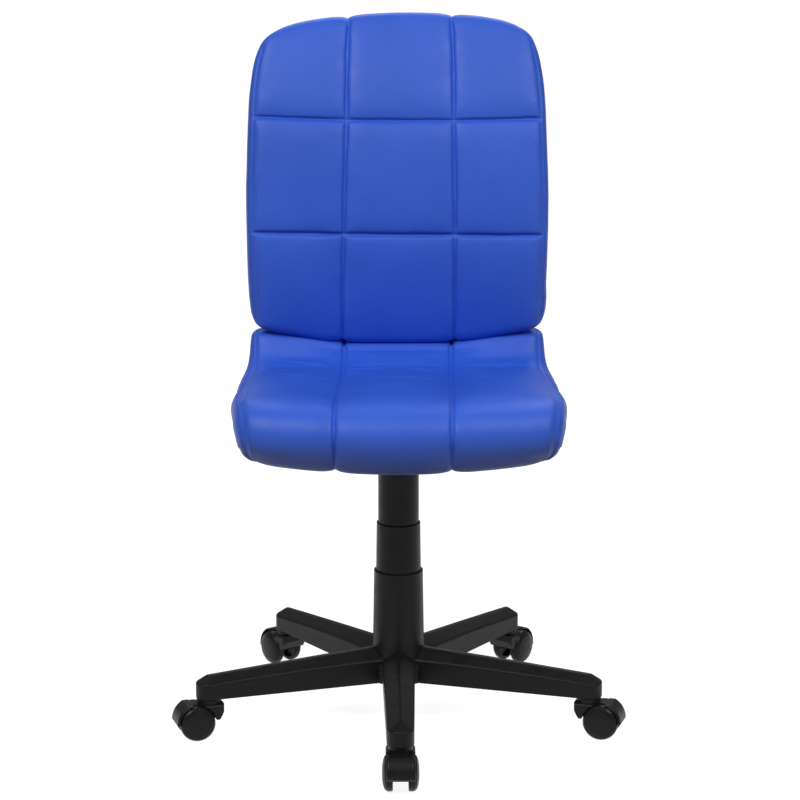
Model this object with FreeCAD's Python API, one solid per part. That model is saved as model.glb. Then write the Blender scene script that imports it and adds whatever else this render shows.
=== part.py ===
import FreeCAD, Part
import math
import os

# Armless swivel office chair. Millimetres, +Z up. The chair faces -Y, and +X is on the right
# of somebody standing in front of it. The origin is on the floor, on the axis of the gas lift.
# Every node is stored where it sits.

V = FreeCAD.Vector
Z_AXIS = V(0, 0, 1)

# --- driving dimensions ------------------------------------------------------------------
ARM_ANGLES = [-90 + 72 * i for i in range(5)]
STEM_R = 280.0          # radius of the circle of caster stems
BASE_BOTTOM = 58.0      # underside of the five-star base
RIDGE_ROUND = 9.0
SHOULDER_ROUND = 4.0
POCKET_START = 45.0     # hollow underside of an arm, as radii
POCKET_END = 258.0
RIBS = 5
HUB_TOP = 108.0
HUB_R = 38.0
FLANGE_R = 43.5         # thicker lower part of the hub
# Radius, half width, shoulder height and ridge height along an arm.
ARM_STATIONS = [(30, 23.0, 91.0, 107.0), (150, 21.0, 88.0, 99.0), (STEM_R, 18.6, 79.0, 90.0)]

WHEEL_R = 25.0
TRAIL = 20.8            # stem axis to axle
WHEEL_IN = 10.5         # wheel faces, measured from the caster's middle plane
WHEEL_OUT = 25.0
FENDER_HALF = 20.0
FENDER_R = 29.6
HOOD_TOP = 51.0         # flat shoulder round the neck
NECK_R = 16.8
NECK_BOX = 17.4         # half length of the block under the neck
WEB_HALF = 9.5          # half thickness of the hood's middle web
STEM_ROD_R = 5.5
AXLE_R = 4.0

TUBE_R = 25.0
TUBE_BOTTOM = 50.0
TUBE_TOP = 262.0
CYLINDER_R = 14.0
CYLINDER_BOTTOM = 195.0
CYLINDER_TOP = 404.0

PIVOT_Y = -40.0
PIVOT_Z = 424.0
HOUSING_HALF = 40.0
HOUSING_FLOOR = 398.0
BOLT_Y = -90.0          # tilt tension bolt
LEVER_Z = 412.5
PLATE_Z = 437.0
BOARD_Z = 441.0         # underside of the flat part of the seat board
BOARD_T = 10.0

SEAT_HALF = 226.0
BACK_HALF = 217.0
BACK_TOP = 978.0
BACK_FOOT = 513.0
BACK_ARCH = 128.0       # height over which the sides curve in to the top
BACK_THICK = 58.0
BACK_EDGE = 24.0        # depth of the rounding at the sides of the back
NUT_SINK = 11.2         # tee-nut flange behind the middle surface of the back
RUN = 0.05              # radial clearance of a shaft in its hole


# --- helpers -----------------------------------------------------------------------------
def rounded_wire(points, radii):
    """Closed wire through a plane polygon, each corner rounded by its own radius."""
    ends = []
    for i, p in enumerate(points):
        if not radii[i]:
            ends.append((p, None, p))
            continue
        back = (points[i - 1] - p).normalize()
        ahead = (points[(i + 1) % len(points)] - p).normalize()
        half = back.getAngle(ahead) / 2
        reach = radii[i] / math.tan(half)
        middle = p + (back + ahead).normalize() * (radii[i] / math.sin(half) - radii[i])
        ends.append((p + back * reach, middle, p + ahead * reach))
    edges = []
    for i, (start, middle, stop) in enumerate(ends):
        if middle:
            edges.append(Part.Arc(start, middle, stop).toShape())
        following = ends[(i + 1) % len(ends)][0]
        if stop.distanceToPoint(following) > 1e-6:
            edges.append(Part.makeLine(stop, following))
    return Part.Wire(edges)


def polygon_face(points, radii=None):
    return Part.Face(rounded_wire(points, radii or [0] * len(points)))


def prism_x(yz, x0, x1, radii=None):
    """Solid between two X planes from a (Y, Z) outline."""
    return polygon_face([V(x0, y, z) for y, z in yz], radii).extrude(V(x1 - x0, 0, 0))


def prism_y(xz, y0, y1, radii=None):
    return polygon_face([V(x, y0, z) for x, z in xz], radii).extrude(V(0, y1 - y0, 0))


def prism_z(xy, z0, z1, radii=None):
    return polygon_face([V(x, y, z0) for x, y in xy], radii).extrude(V(0, 0, z1 - z0))


def revolve_z(rz, x=0.0, y=0.0):
    """Solid of revolution about the vertical line through (x, y) from an (r, z) outline."""
    face = polygon_face([V(x + r, y, z) for r, z in rz])
    return face.revolve(V(x, y, 0), Z_AXIS, 360)


def disc(r, z0, z1, x=0.0, y=0.0):
    return Part.makeCylinder(r, z1 - z0, V(x, y, z0), Z_AXIS)


def ring(r_in, r_out, z0, z1, x=0.0, y=0.0):
    return disc(r_out, z0, z1, x, y).cut(disc(r_in, z0 - 1, z1 + 1, x, y))


def rod_x(r, x0, x1, y, z):
    return Part.makeCylinder(r, x1 - x0, V(x0, y, z), V(1, 0, 0))


def rod_y(r, y0, y1, x, z):
    return Part.makeCylinder(r, y1 - y0, V(x, y0, z), V(0, 1, 0))


def hexagon(across_flats, z0, z1, x, y):
    corners = [turned_point(across_flats / math.sqrt(3), 60 * i) for i in range(6)]
    return prism_z([(x + dx, y + dy) for dx, dy in corners], z0, z1)


def turned_point(r, degrees):
    return r * math.cos(math.radians(degrees)), r * math.sin(math.radians(degrees))


def turned(shape, degrees):
    copy = shape.copy()
    copy.rotate(V(0, 0, 0), Z_AXIS, degrees)
    return copy


def strip(centre, radii, thick, x0, x1):
    """Bent strip of constant thickness: a rounded centre line in Y and Z, extruded along X."""
    points = [V(x0, y, z) for y, z in centre]
    left, right, left_r, right_r = [], [], [], []
    for i, p in enumerate(points):
        before = (p - points[i - 1]).normalize() if i else (points[1] - p).normalize()
        after = (points[i + 1] - p).normalize() if i + 1 < len(points) else V(before)
        n1 = V(0, -before.z, before.y)
        n2 = V(0, -after.z, after.y)
        miter = (n1 + n2) * (thick / 2 / (1 + n1.dot(n2)))
        turn = before.y * after.z - before.z * after.y
        side = math.copysign(thick / 2, turn) if radii[i] else 0
        left.append(p + miter)
        right.append(p - miter)
        left_r.append(radii[i] - side)
        right_r.append(radii[i] + side)
    outline = rounded_wire(left + right[::-1], left_r + right_r[::-1])
    return Part.Face(outline).extrude(V(x1 - x0, 0, 0))


def interpolate(table, z):
    """Smooth value from a table of (z, value) rows, by a cubic through the four nearest."""
    i = 1
    while i < len(table) - 3 and table[i + 1][0] < z:
        i += 1
    near = table[i - 1:i + 3]
    total = 0.0
    for a, (za, va) in enumerate(near):
        weight = 1.0
        for b, (zb, vb) in enumerate(near):
            if a != b:
                weight *= (z - zb) / (za - zb)
        total += weight * va
    return total


def even_loft(outlines):
    """Solid through closed outlines with the same number of points, all of them splines that
    share the parameters of the middle one, which keeps the surface free of ripples."""
    middle = outlines[len(outlines) // 2]
    lengths = [p.distanceToPoint(q) for p, q in zip(middle, middle[1:] + middle[:1])]
    marks = [sum(lengths[:i]) / sum(lengths) for i in range(len(lengths))] + [1.0]
    wires = []
    for points in outlines:
        curve = Part.BSplineCurve()
        curve.interpolate(Points=points, PeriodicFlag=True, Parameters=marks)
        wires.append(Part.Wire(curve.toShape()))
    return Part.makeLoft(wires, True)


def save(node, shape):
    """Writes one node, as one solid or as a group of separate solids."""
    solids = shape.Solids
    if not solids or not all(s.isValid() for s in solids):
        raise ValueError(f"{node} is not a valid solid")
    single = solids[0] if len(solids) == 1 else Part.makeCompound(solids)
    single.exportStep(f"parts/{node}.step")
    box = shape.BoundBox
    print(f"{node:22s} solids {len(solids):3d}  volume {shape.Volume / 1000:9.2f} cm3  "
          f"x {box.XMin:7.1f} {box.XMax:7.1f}  y {box.YMin:7.1f} {box.YMax:7.1f}  "
          f"z {box.ZMin:7.1f} {box.ZMax:7.1f}")


# --- five-star base ----------------------------------------------------------------------
def arm_section(r, half, shoulder, ridge, bottom):
    """Outline of an arm at radius r: upright sides under a soft roof with a rounded ridge."""
    apex = ridge + 0.18 * (ridge - shoulder)
    corners = [V(r, -half, bottom), V(r, -half, shoulder), V(r, 0, apex),
               V(r, half, shoulder), V(r, half, bottom)]
    return rounded_wire(corners, [0, SHOULDER_ROUND, RIDGE_ROUND, SHOULDER_ROUND, 0])


def arm_station(r):
    """Half width, shoulder height and ridge height of an arm at radius r."""
    low = 0 if r < ARM_STATIONS[1][0] else 1
    a, b = ARM_STATIONS[low], ARM_STATIONS[low + 1]
    t = (r - a[0]) / (b[0] - a[0])
    return [a[k] + t * (b[k] - a[k]) for k in (1, 2, 3)]


def arm_pocket():
    """Hollow underside of one arm, left as cells between zigzag ribs."""
    inner = []
    for r in (POCKET_START, 150, POCKET_END):
        half, shoulder, ridge = arm_station(r)
        inner.append(arm_section(r, half - 3.2, shoulder - 3.5, ridge - 4.5, BASE_BOTTOM - 8))
    ribs = [arm_rib(i) for i in range(RIBS)]
    return Part.makeLoft(inner, True).cut(Part.makeCompound(ribs))


def arm_rib(i):
    """One leg of the zigzag, standing across the pocket from one side wall to the other."""
    along = (POCKET_END - POCKET_START) / RIBS
    across = 40.0
    swing = (-1) ** i
    rib = Part.makeBox(math.hypot(along, across), 2.2, 50, V(0, -1.1, BASE_BOTTOM + 4))
    rib.rotate(V(0, 0, 0), Z_AXIS, swing * math.degrees(math.atan2(across, along)))
    rib.translate(V(POCKET_START + i * along, -swing * across / 2, 0))
    return rib


def star_arm():
    sections = [arm_section(*station, BASE_BOTTOM) for station in ARM_STATIONS]
    body = Part.makeLoft(sections, True)
    end = Part.Face(sections[-1])
    keep = Part.makeBox(20, 40, 200, V(STEM_R - 10, 0, 0))
    tip = end.common(keep).revolve(V(STEM_R, 0, 0), Z_AXIS, 360)
    arm = body.fuse(tip).cut(arm_pocket())
    return arm.cut(disc(STEM_ROD_R + RUN, 50, 80.5, STEM_R))


def five_star_base():
    hub = revolve_z([(0, BASE_BOTTOM), (FLANGE_R, BASE_BOTTOM), (FLANGE_R, 85), (HUB_R, 89),
                     (HUB_R, 101), (36.9, HUB_TOP), (0, HUB_TOP)])
    body = hub.multiFuse([turned(star_arm(), a) for a in ARM_ANGLES])
    bore = revolve_z([(0, 40), (23.91, 40), (TUBE_R, HUB_TOP), (0, HUB_TOP)])
    above = disc(30, HUB_TOP, HUB_TOP + 9)
    spokes = [turned(Part.makeBox(40, 2.4, 60, V(0, -1.2, 45)), a + 36) for a in ARM_ANGLES]
    hollow = ring(28.5, 34.5, 50, 98).cut(Part.makeCompound(spokes))
    return body.cut(hollow).cut(bore).cut(above)


# --- column covers and gas lift ----------------------------------------------------------
def telescope(bottom, top, r_bottom, r_top, wall, lip_r):
    """Tapered plastic sleeve with a lip at the top that runs round the next sleeve."""
    return revolve_z([(r_bottom, bottom), (r_top, top - 1), (r_top - 0.8, top), (lip_r, top),
                      (lip_r, top - 3), (r_top - wall, top - 4), (r_bottom - wall, bottom)])


def upper_cover():
    sleeve = ring(27.0, 28.8, 260, HOUSING_FLOOR)
    return sleeve.fuse(ring(18.0, 27.5, HOUSING_FLOOR - 2.5, HOUSING_FLOOR))


def stand_tube():
    return revolve_z([(4 + RUN, TUBE_BOTTOM), (24.07, TUBE_BOTTOM), (TUBE_R, HUB_TOP),
                      (TUBE_R, TUBE_TOP), (22.3, TUBE_TOP), (22.3, 53), (4 + RUN, 53)])


def guide_bush():
    return revolve_z([(CYLINDER_R + RUN, 190), (22.3, 190), (22.3, TUBE_TOP), (TUBE_R, TUBE_TOP),
                      (TUBE_R, 263.5), (CYLINDER_R + RUN, 263.5)])


def gas_cylinder():
    outer = revolve_z([(0, CYLINDER_BOTTOM), (CYLINDER_R - 1.5, CYLINDER_BOTTOM), (CYLINDER_R, 197),
                       (CYLINDER_R, 376), (13.3, CYLINDER_TOP), (0, CYLINDER_TOP)])
    cavity = disc(12.0, 207, 392)
    return outer.cut(cavity).cut(disc(5 + RUN, 190, 210)).cut(disc(4 + RUN, 390, 410))


def piston_rod():
    return revolve_z([(0, 45), (4, 45), (4, 53.4), (5, 53.4), (5, 240), (11.95, 240),
                      (11.95, 252), (0, 252)])


def thrust_balls():
    centres = [turned_point(9, 30 * i) for i in range(12)]
    return Part.makeCompound([Part.makeSphere(1.95, V(x, y, 57)) for x, y in centres])


# --- tilt mechanism ----------------------------------------------------------------------
def taper_socket():
    return disc(18.0, 376, CYLINDER_TOP).cut(gas_cylinder()).cut(disc(13.0, 370, 410))


def tilt_housing():
    """Folded steel box: floor, side walls, rear wall and the shelf that the spring bears on."""
    inner = HOUSING_HALF - 2.5
    side = [(50, HOUSING_FLOOR), (50, 418), (PIVOT_Y, 434), (-115, 434), (-115, 424),
            (-62, HOUSING_FLOOR)]
    walls = [prism_x(side, x, x + 2.5, [4, 3, 10, 6, 4, 12]) for x in (-HOUSING_HALF, inner)]
    floor = Part.makeBox(2 * inner, 112, 3, V(-inner, -62, HOUSING_FLOOR))
    rear = Part.makeBox(2 * inner, 2.5, 19, V(-inner, 47.5, HOUSING_FLOOR))
    shelf = Part.makeBox(2 * inner, 50, 3, V(-inner, -115, 429))
    box = walls[0].multiFuse([walls[1], floor, rear, shelf])
    box = box.cut(disc(18.0, 390, 410)).cut(disc(6.5, 420, 440, 0, BOLT_Y))
    box = box.cut(rod_x(5.0, -60, 60, PIVOT_Y, PIVOT_Z))
    return box.cut(rod_x(6.1, 30, 50, 0, LEVER_Z))


def pivot_clips():
    pin = rod_x(5, -50, 50, PIVOT_Y, PIVOT_Z)
    washers = [rod_x(8, x, x + 1.2, PIVOT_Y, PIVOT_Z) for x in (-45.2, 44.0)]
    return Part.makeCompound([w.cut(pin) for w in washers])


PLATE_BOLTS = [(x, y) for x in (-65, 65) for y in (-112, 32)]
BRACKET_BOLTS = [(x, y) for x in (-18, 18) for y in (80, 112)]
BACK_BOLTS = [(x, z) for x in (-18, 18) for z in (640, 715)]


def seat_plate():
    """Pressed plate under the seat board, with the two ears that hang on the pivot pin."""
    plate = prism_z([(-80, -130), (80, -130), (80, 50), (-80, 50)], PLATE_Z, PLATE_Z + 3, [14] * 4)
    ear = [(-66, PLATE_Z), (-52, PIVOT_Z - 10), (-28, PIVOT_Z - 10), (-14, PLATE_Z)]
    ears = [prism_x(ear, x, x + 3, [0, 10, 10, 0]) for x in (-43.5, 40.5)]
    body = plate.multiFuse(ears).cut(rod_x(5 + RUN, -60, 60, PIVOT_Y, PIVOT_Z))
    body = body.cut(disc(4.0, 430, 450, 0, BOLT_Y))
    return body.cut(Part.makeCompound([disc(3.0, 430, 450, x, y) for x, y in PLATE_BOLTS]))


def tension_bolt():
    return disc(4.0, 388, 441, 0, BOLT_Y).fuse(hexagon(13, 440, 446, 0, BOLT_Y))


def tilt_spring():
    """Compression spring between the knob and the shelf, round the tension bolt."""
    wire_r = 2.5
    low = HOUSING_FLOOR + 0.4 + wire_r
    high = 429 - wire_r
    helix = Part.makeHelix(7.8, high - low, 14.5)
    profile = Part.Wire(Part.makeCircle(wire_r, V(14.5, 0, 0), V(0, 1, 0)))
    coil = Part.Wire(helix).makePipeShell([profile], True, True)
    coil.translate(V(0, BOLT_Y, low))
    return coil


def tension_knob():
    knob = revolve_z([(0, 384), (18, 384), (21, 387), (21, 395), (19, 398), (0, 398)], 0, BOLT_Y)
    centres = [turned_point(23, 45 * i) for i in range(8)]
    flutes = [disc(3.0, 380, 400, x, BOLT_Y + y) for x, y in centres]
    return knob.cut(Part.makeCompound(flutes)).cut(disc(4 + RUN, 387.6, 400, 0, BOLT_Y))


LEVER_PATH = [V(-18, 0, LEVER_Z), V(96, 0, LEVER_Z), V(128, 0, 405), V(176, 0, 401)]


def lever_rod():
    pieces = []
    for a, b in zip(LEVER_PATH, LEVER_PATH[1:]):
        pieces.append(Part.makeCylinder(3.5, a.distanceToPoint(b), a, b - a))
    pieces += [Part.makeSphere(3.5, p) for p in LEVER_PATH[1:-1]]
    return pieces[0].multiFuse(pieces[1:]).removeSplitter()


def lever_bush():
    ball = Part.makeSphere(6.0, V(HOUSING_HALF - 1.25, 0, LEVER_Z))
    keep = Part.makeBox(8, 20, 20, V(HOUSING_HALF - 5.25, -10, LEVER_Z - 10))
    return ball.common(keep).cut(rod_x(3.5, 0, 80, 0, LEVER_Z))


def lever_grip():
    """Flat paddle, rounded all round, pushed on the end of the lever rod."""
    outline = [(120, -7), (190, -12), (190, 12), (120, 7)]
    paddle = prism_z(outline, -4.5, 4.5, [6, 11, 11, 6])
    paddle = paddle.makeFillet(3.0, [e for e in paddle.Edges if abs(e.BoundBox.ZLength) < 0.01])
    paddle.translate(V(-128, 0, 0))
    paddle.rotate(V(0, 0, 0), V(0, 1, 0), math.degrees(math.atan2(4, 48)))
    paddle.translate(LEVER_PATH[2])
    return paddle.cut(lever_rod())


# --- seat --------------------------------------------------------------------------------
SEAT_PROFILE = [(-246, 460), (-243, 477), (-232, 493), (-212, 502), (-185, 505), (-140, 501),
                (-95, 496), (-45, 491), (5, 487), (55, 483), (100, 482), (132, 484), (152, 491),
                (165, 502), (176, 515), (190, 518), (205, 512), (214, 496), (215, 475), (209, 455),
                (192, 446), (160, 441), (100, 434), (30, 428), (-60, 424), (-140, 419), (-185, 414),
                (-210, 412), (-230, 421), (-242, 440)]
SEAT_EDGE = 26.0        # depth of the rounding at the sides of the seat


def foot_ramp(x):
    """0 in the middle of the back's foot, which hangs lower, and 1 towards its sides."""
    t = min(1.0, max(0.0, (abs(x) - 70) / 75))
    return t * t * (3 - 2 * t)


def seat_section(x):
    """Closed Y-Z section of the upholstered seat at x, drawn in towards the sides."""
    share = abs(x) / SEAT_HALF
    points = []
    for y, z in SEAT_PROFILE:
        bow = 28 * share ** 2 * max(0.0, -y / 245)
        lift = 8 * share ** 2 if z <= 440 else 0
        if y > 150 and z > 500:
            lift += 9 * share ** 2 - 8 * (1 - foot_ramp(x))
        points.append(V(x, y + bow, z + lift))
    over = max(0.0, abs(x) - (SEAT_HALF - SEAT_EDGE))
    inset = SEAT_EDGE - math.sqrt(max(0.0, SEAT_EDGE ** 2 - over ** 2))
    return drawn_in(points, 0.72 * inset)


def drawn_in(points, inset):
    """The same closed outline with every point moved inwards by the inset."""
    moved = []
    for i, p in enumerate(points):
        along = (points[(i + 1) % len(points)] - points[i - 1]).normalize()
        moved.append(p + V(0, along.z, -along.y) * inset)
    return moved


def mirrored_stations(half):
    return [-x for x in half[:0:-1]] + half


def seat_body():
    half = [0, 60, 90, 120, 150, 180, 200, 213, 221, SEAT_HALF]
    return even_loft([seat_section(x) for x in mirrored_stations(half)])


BOARD_LINE = [(-216, 428), (-178, 446), (158, 446), (196, 504)]
SEAT_BOLTS = PLATE_BOLTS + BRACKET_BOLTS


def seat_outline(z0, z1):
    corners = [(-204, 214), (-204, -186), (0, -220), (204, -186), (204, 214)]
    return prism_z(corners, z0, z1, [30, 42, 500, 42, 30])


def plain_board():
    """The bent plywood before it is drilled."""
    sheet = strip(BOARD_LINE, [0, 60, 45, 0], BOARD_T, -210, 210)
    return sheet.common(seat_outline(380, 560))


def nut_recess(x, y):
    """Hole for a tee nut, with a shallow seat for its flange in the top of the board."""
    flange = disc(9.0, BOARD_Z + BOARD_T - 1.2, BOARD_Z + 19, x, y)
    return disc(4.2, 430, 460, x, y).fuse(flange)


def tee_nut(x, y):
    top = BOARD_Z + BOARD_T
    return ring(3.0, 4.2, BOARD_Z + 2, top, x, y).fuse(ring(3.0, 9.0, top - 1.2, top, x, y))


def seat_board():
    recesses = Part.makeCompound([nut_recess(x, y) for x, y in SEAT_BOLTS])
    return plain_board().cut(recesses).cut(disc(11, 430, 460, 0, BOLT_Y))


def seat_cushion():
    """Foam and cover over the board, wrapped down round its front edge and open underneath."""
    opening = [(-250, 380), (-250, 412), BOARD_LINE[0], BOARD_LINE[1], BOARD_LINE[2],
               (170, 446), (170, 380)]
    under = prism_x(opening, -210, 210, [0, 0, 0, 60, 0, 0, 0]).common(seat_outline(370, 560))
    return seat_body().cut(plain_board()).cut(under)


def seat_under_cover():
    corners = [(-185, -142), (185, -142), (185, 128), (-185, 128)]
    sheet = prism_z(corners, BOARD_Z - 1, BOARD_Z, [20] * 4)
    holes = [disc(3.0, 430, 450, x, y) for x, y in SEAT_BOLTS]
    return sheet.cut(Part.makeCompound(holes)).cut(disc(11, 430, 450, 0, BOLT_Y))


def hex_bolt(x, y, under, reach):
    """Bolt whose head hangs below the given height and whose shank goes up by reach."""
    return disc(3.0, under - 0.5, under + reach, x, y).fuse(hexagon(10, under - 4, under, x, y))


# --- back --------------------------------------------------------------------------------
BACK_FRONT = [(480, 186), (520, 168), (560, 155), (600, 148), (660, 143), (740, 150), (790, 159),
              (840, 172), (885, 188), (930, 207), (977, 235), (1020, 263)]


def back_middle(z):
    return interpolate(BACK_FRONT, z) + BACK_THICK / 2


def arch(x, power):
    """Superellipse height, from 1 in the middle of the back to 0 at its side."""
    return max(0.0, 1 - (abs(x) / BACK_HALF) ** power) ** (1 / power)


def back_section(x):
    """Closed Y-Z section of the upholstered back at x: a curved slab with round ends."""
    over = max(0.0, abs(x) - (BACK_HALF - BACK_EDGE))
    inset = BACK_EDGE - math.sqrt(max(0.0, BACK_EDGE ** 2 - over ** 2))
    half = BACK_THICK / 2 - 0.7 * inset
    top = BACK_TOP - BACK_ARCH * (1 - arch(x, 3.5)) - half
    bottom = BACK_FOOT + 10 * foot_ramp(x) + 100 * (1 - arch(x, 6)) + half

    def at(z, across, along):
        slope = (back_middle(z + 2) - back_middle(z - 2)) / 4
        scale = math.hypot(1, slope)
        y = back_middle(z) + (across + along * slope) / scale
        return V(x, y, z + (along - across * slope) / scale)

    heights = [bottom + (top - bottom) * i / 8 for i in range(9)]
    turns = [math.radians(a) for a in (36, 72, 108, 144)]
    front = [at(z, -half, 0) for z in heights]
    head = [at(top, -half * math.cos(a), half * math.sin(a)) for a in turns]
    rear = [at(z, half, 0) for z in heights[::-1]]
    tail = [at(bottom, half * math.cos(a), -half * math.sin(a)) for a in turns]
    return front + head + rear + tail


def back_body():
    half = [0, 60, 90, 120, 150, 178, 198, 208, 213, 215.5, BACK_HALF - 0.4]
    return even_loft([back_section(x) for x in mirrored_stations(half)])


def behind(offset):
    """Everything behind a sheet that runs parallel to the back's middle surface."""
    heights = [470 + 30 * i for i in range(19)]
    sheet = [V(-240, back_middle(z) + offset, z) for z in heights]
    curve = Part.BSplineCurve()
    curve.interpolate(sheet)
    far = [V(-240, 420, heights[-1]), V(-240, 420, heights[0])]
    corners = [sheet[-1], *far, sheet[0]]
    rim = [Part.makeLine(p, q) for p, q in zip(corners, corners[1:])]
    return Part.Face(Part.Wire([curve.toShape(), *rim])).extrude(V(480, 0, 0))


def back_outline(margin):
    half = BACK_HALF - margin
    low, high = BACK_FOOT + 7 + margin, BACK_TOP - margin
    corners = [(-half, low), (half, low), (half, high), (-half, high)]
    return prism_y(corners, 100, 330, [22, 22, 52, 52])


def back_nut(x, z):
    """Tee nut let into the front face of the back board."""
    y = back_middle(z) + NUT_SINK
    barrel = rod_y(4.2, y, y + 7, x, z).fuse(rod_y(9.0, y, y + 1.2, x, z))
    return barrel.cut(rod_y(3.0, y - 5, y + 20, x, z))


def back_recess(x, z):
    """Room for a tee nut and its bolt in the back board."""
    y = back_middle(z) + NUT_SINK
    return rod_y(9.0, y - 4, y + 1.2, x, z).fuse(rod_y(4.2, y, y + 7, x, z))


def back_parts():
    """Cushion, board and rear panel, all cut from the one upholstered body."""
    body = back_body()
    rear_space = behind(19)
    board = behind(10).cut(rear_space).common(back_outline(28))
    cushion = body.cut(rear_space).cut(board)
    recesses = Part.makeCompound([back_recess(x, z) for x, z in BACK_BOLTS])
    bolts = Part.makeCompound([back_bolt(x, z) for x, z in BACK_BOLTS])
    return cushion, board.cut(recesses).cut(bolts), body.common(rear_space).cut(bolts)


BAR_LINE = [(55, 437), (229, 437), (229, 548), (206, 608), (203.5, 690), (212.5, 765)]


def back_bracket():
    """Flat steel bar, bent under the seat and up behind the back."""
    bar = strip(BAR_LINE, [0, 42, 70, 70, 160, 0], 6.0, -30, 30)
    ends = prism_x([(40, 420), (300, 420), (300, 752), (40, 752)], -30, 30)
    top = prism_y([(-30, 740), (30, 740), (30, 770), (-30, 770)], 150, 260, [0, 0, 22, 22])
    bar = bar.common(ends.fuse(top)).cut(back_body())
    bar = bar.cut(Part.makeCompound([disc(3.0, 420, 450, x, y) for x, y in BRACKET_BOLTS]))
    return bar.cut(Part.makeCompound([rod_y(3.0, 150, 260, x, z) for x, z in BACK_BOLTS]))


def back_bolt(x, z):
    """Round-headed bolt from behind, through the bar and the rear panel into its tee nut."""
    rear = bar_rear(z)
    head = rod_y(6.0, rear + 0.8, rear + 4.2, x, z)
    head = head.makeFillet(1.2, [head.Edges[0]])
    return rod_y(3.0, back_middle(z) + 11, rear + 2, x, z).fuse(head)


def bar_rear(z):
    """Y of the rear face of the bar's upright part at height z."""
    low = 3 if z < BAR_LINE[4][1] else 4
    (y0, z0), (y1, z1) = BAR_LINE[low], BAR_LINE[low + 1]
    return y0 + (y1 - y0) * (z - z0) / (z1 - z0) + 3.0


# --- casters -----------------------------------------------------------------------------
AXLE_X = STEM_R + TRAIL


def fender_outline():
    """Side outline of the hood, from the neck over the wheels to the cut at the trailing edge."""
    inner_end = STEM_R - NECK_BOX
    outer = rod_y(FENDER_R, -FENDER_HALF, FENDER_HALF, AXLE_X, WHEEL_R)
    corner = V(inner_end, -FENDER_HALF, 28)
    neck = Part.makeBox(2 * NECK_BOX, 2 * FENDER_HALF, HOOD_TOP - corner.z, corner)
    cut_line = [(AXLE_X - 60, -20), (AXLE_X - 60, 41), (inner_end, 41), (AXLE_X - 31, 29),
                (AXLE_X + 20, 27), (AXLE_X + 26.6, 21.8), (AXLE_X + 50, 49.7), (AXLE_X + 50, -20)]
    above = Part.makeBox(200, 80, 40, V(AXLE_X - 100, -40, HOOD_TOP))
    return outer.fuse(neck).cut(prism_y(cut_line, -30, 30)).cut(above)


def caster_hood():
    """Rounded fender over both wheels, with a middle web that holds the axle and the stem."""
    shell = fender_outline()
    soft = [e for e in shell.Edges if abs(abs(e.CenterOfMass.y) - FENDER_HALF) < 0.01]
    shell = shell.makeFillet(4.6, [e for e in soft if e.CenterOfMass.z > 36])
    shell = shell.fuse(disc(NECK_R, HOOD_TOP, BASE_BOTTOM - 1.2, STEM_R))
    for start, stop in ((-40, -WEB_HALF), (WEB_HALF, 40)):
        shell = shell.cut(rod_y(WHEEL_R + 1.6, start, stop, AXLE_X, WHEEL_R))
    boss = rod_y(9.0, -WEB_HALF, WEB_HALF, AXLE_X, WHEEL_R)
    shell = shell.fuse(boss).cut(rod_y(AXLE_R, -30, 30, AXLE_X, WHEEL_R))
    return shell.cut(disc(STEM_ROD_R, 36, 60, STEM_R))


def caster_stem():
    return revolve_z([(0, 36), (STEM_ROD_R, 36), (STEM_ROD_R, 66), (4.7, 66.6), (4.7, 68.4),
                      (STEM_ROD_R, 69), (STEM_ROD_R, 76.5), (3.5, 79), (0, 79)], STEM_R)


def caster_wheel(side):
    """Solid nylon wheel with a domed outer face and a dished inner face."""
    rim = [(0, 21.2), (0, WHEEL_OUT), (9, 24.8), (17, 23.6), (22, 21.6), (24.4, 19.0),
           (WHEEL_R, 16.5), (WHEEL_R, 12.0), (24.0, WHEEL_IN), (20.5, WHEEL_IN), (19.0, 16.5),
           (9.5, 16.5), (8.5, WHEEL_IN), (AXLE_R + RUN, WHEEL_IN), (AXLE_R + RUN, 21.2)]
    face = polygon_face([V(AXLE_X + r, side * w, WHEEL_R) for r, w in rim])
    return face.revolve(V(AXLE_X, 0, WHEEL_R), V(0, 1, 0), 360)


def caster_nodes():
    return {
        "hood": caster_hood(),
        "stem": caster_stem(),
        "axle": rod_y(AXLE_R, -20.8, 20.8, AXLE_X, WHEEL_R),
        "wheel_left": caster_wheel(1),
        "wheel_right": caster_wheel(-1),
    }


# --- the nodes ---------------------------------------------------------------------------
def base_nodes():
    return {
        "five_star_base": five_star_base(),
        "lower_cover": telescope(HUB_TOP, 218, 36.5, 34.8, 1.8, 32.75),
        "middle_cover": telescope(183, 288, 32.4, 31.0, 1.6, 29.15),
        "upper_cover": upper_cover(),
        "stand_tube": stand_tube(),
        "guide_bush": guide_bush(),
        "thrust_race_lower": ring(6.0, 12.5, 53, 55),
        "thrust_balls": thrust_balls(),
        "thrust_race_upper": ring(5.0, 12.5, 59, 61),
        "piston_rod": piston_rod(),
        "rod_clip": ring(4.0, 8.0, 48.2, 49.6),
        "gas_cylinder": gas_cylinder(),
        "release_button": disc(4.0, 396, 408.7),
    }


def mechanism_nodes():
    return {
        "taper_socket": taper_socket(),
        "tilt_housing": tilt_housing(),
        "pivot_pin": rod_x(5.0, -48, 48, PIVOT_Y, PIVOT_Z),
        "pivot_clips": pivot_clips(),
        "tilt_spring": tilt_spring(),
        "tension_bolt": tension_bolt(),
        "tension_knob": tension_knob(),
        "lever_rod": lever_rod(),
        "lever_bush": lever_bush(),
        "lever_grip": lever_grip(),
    }


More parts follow.
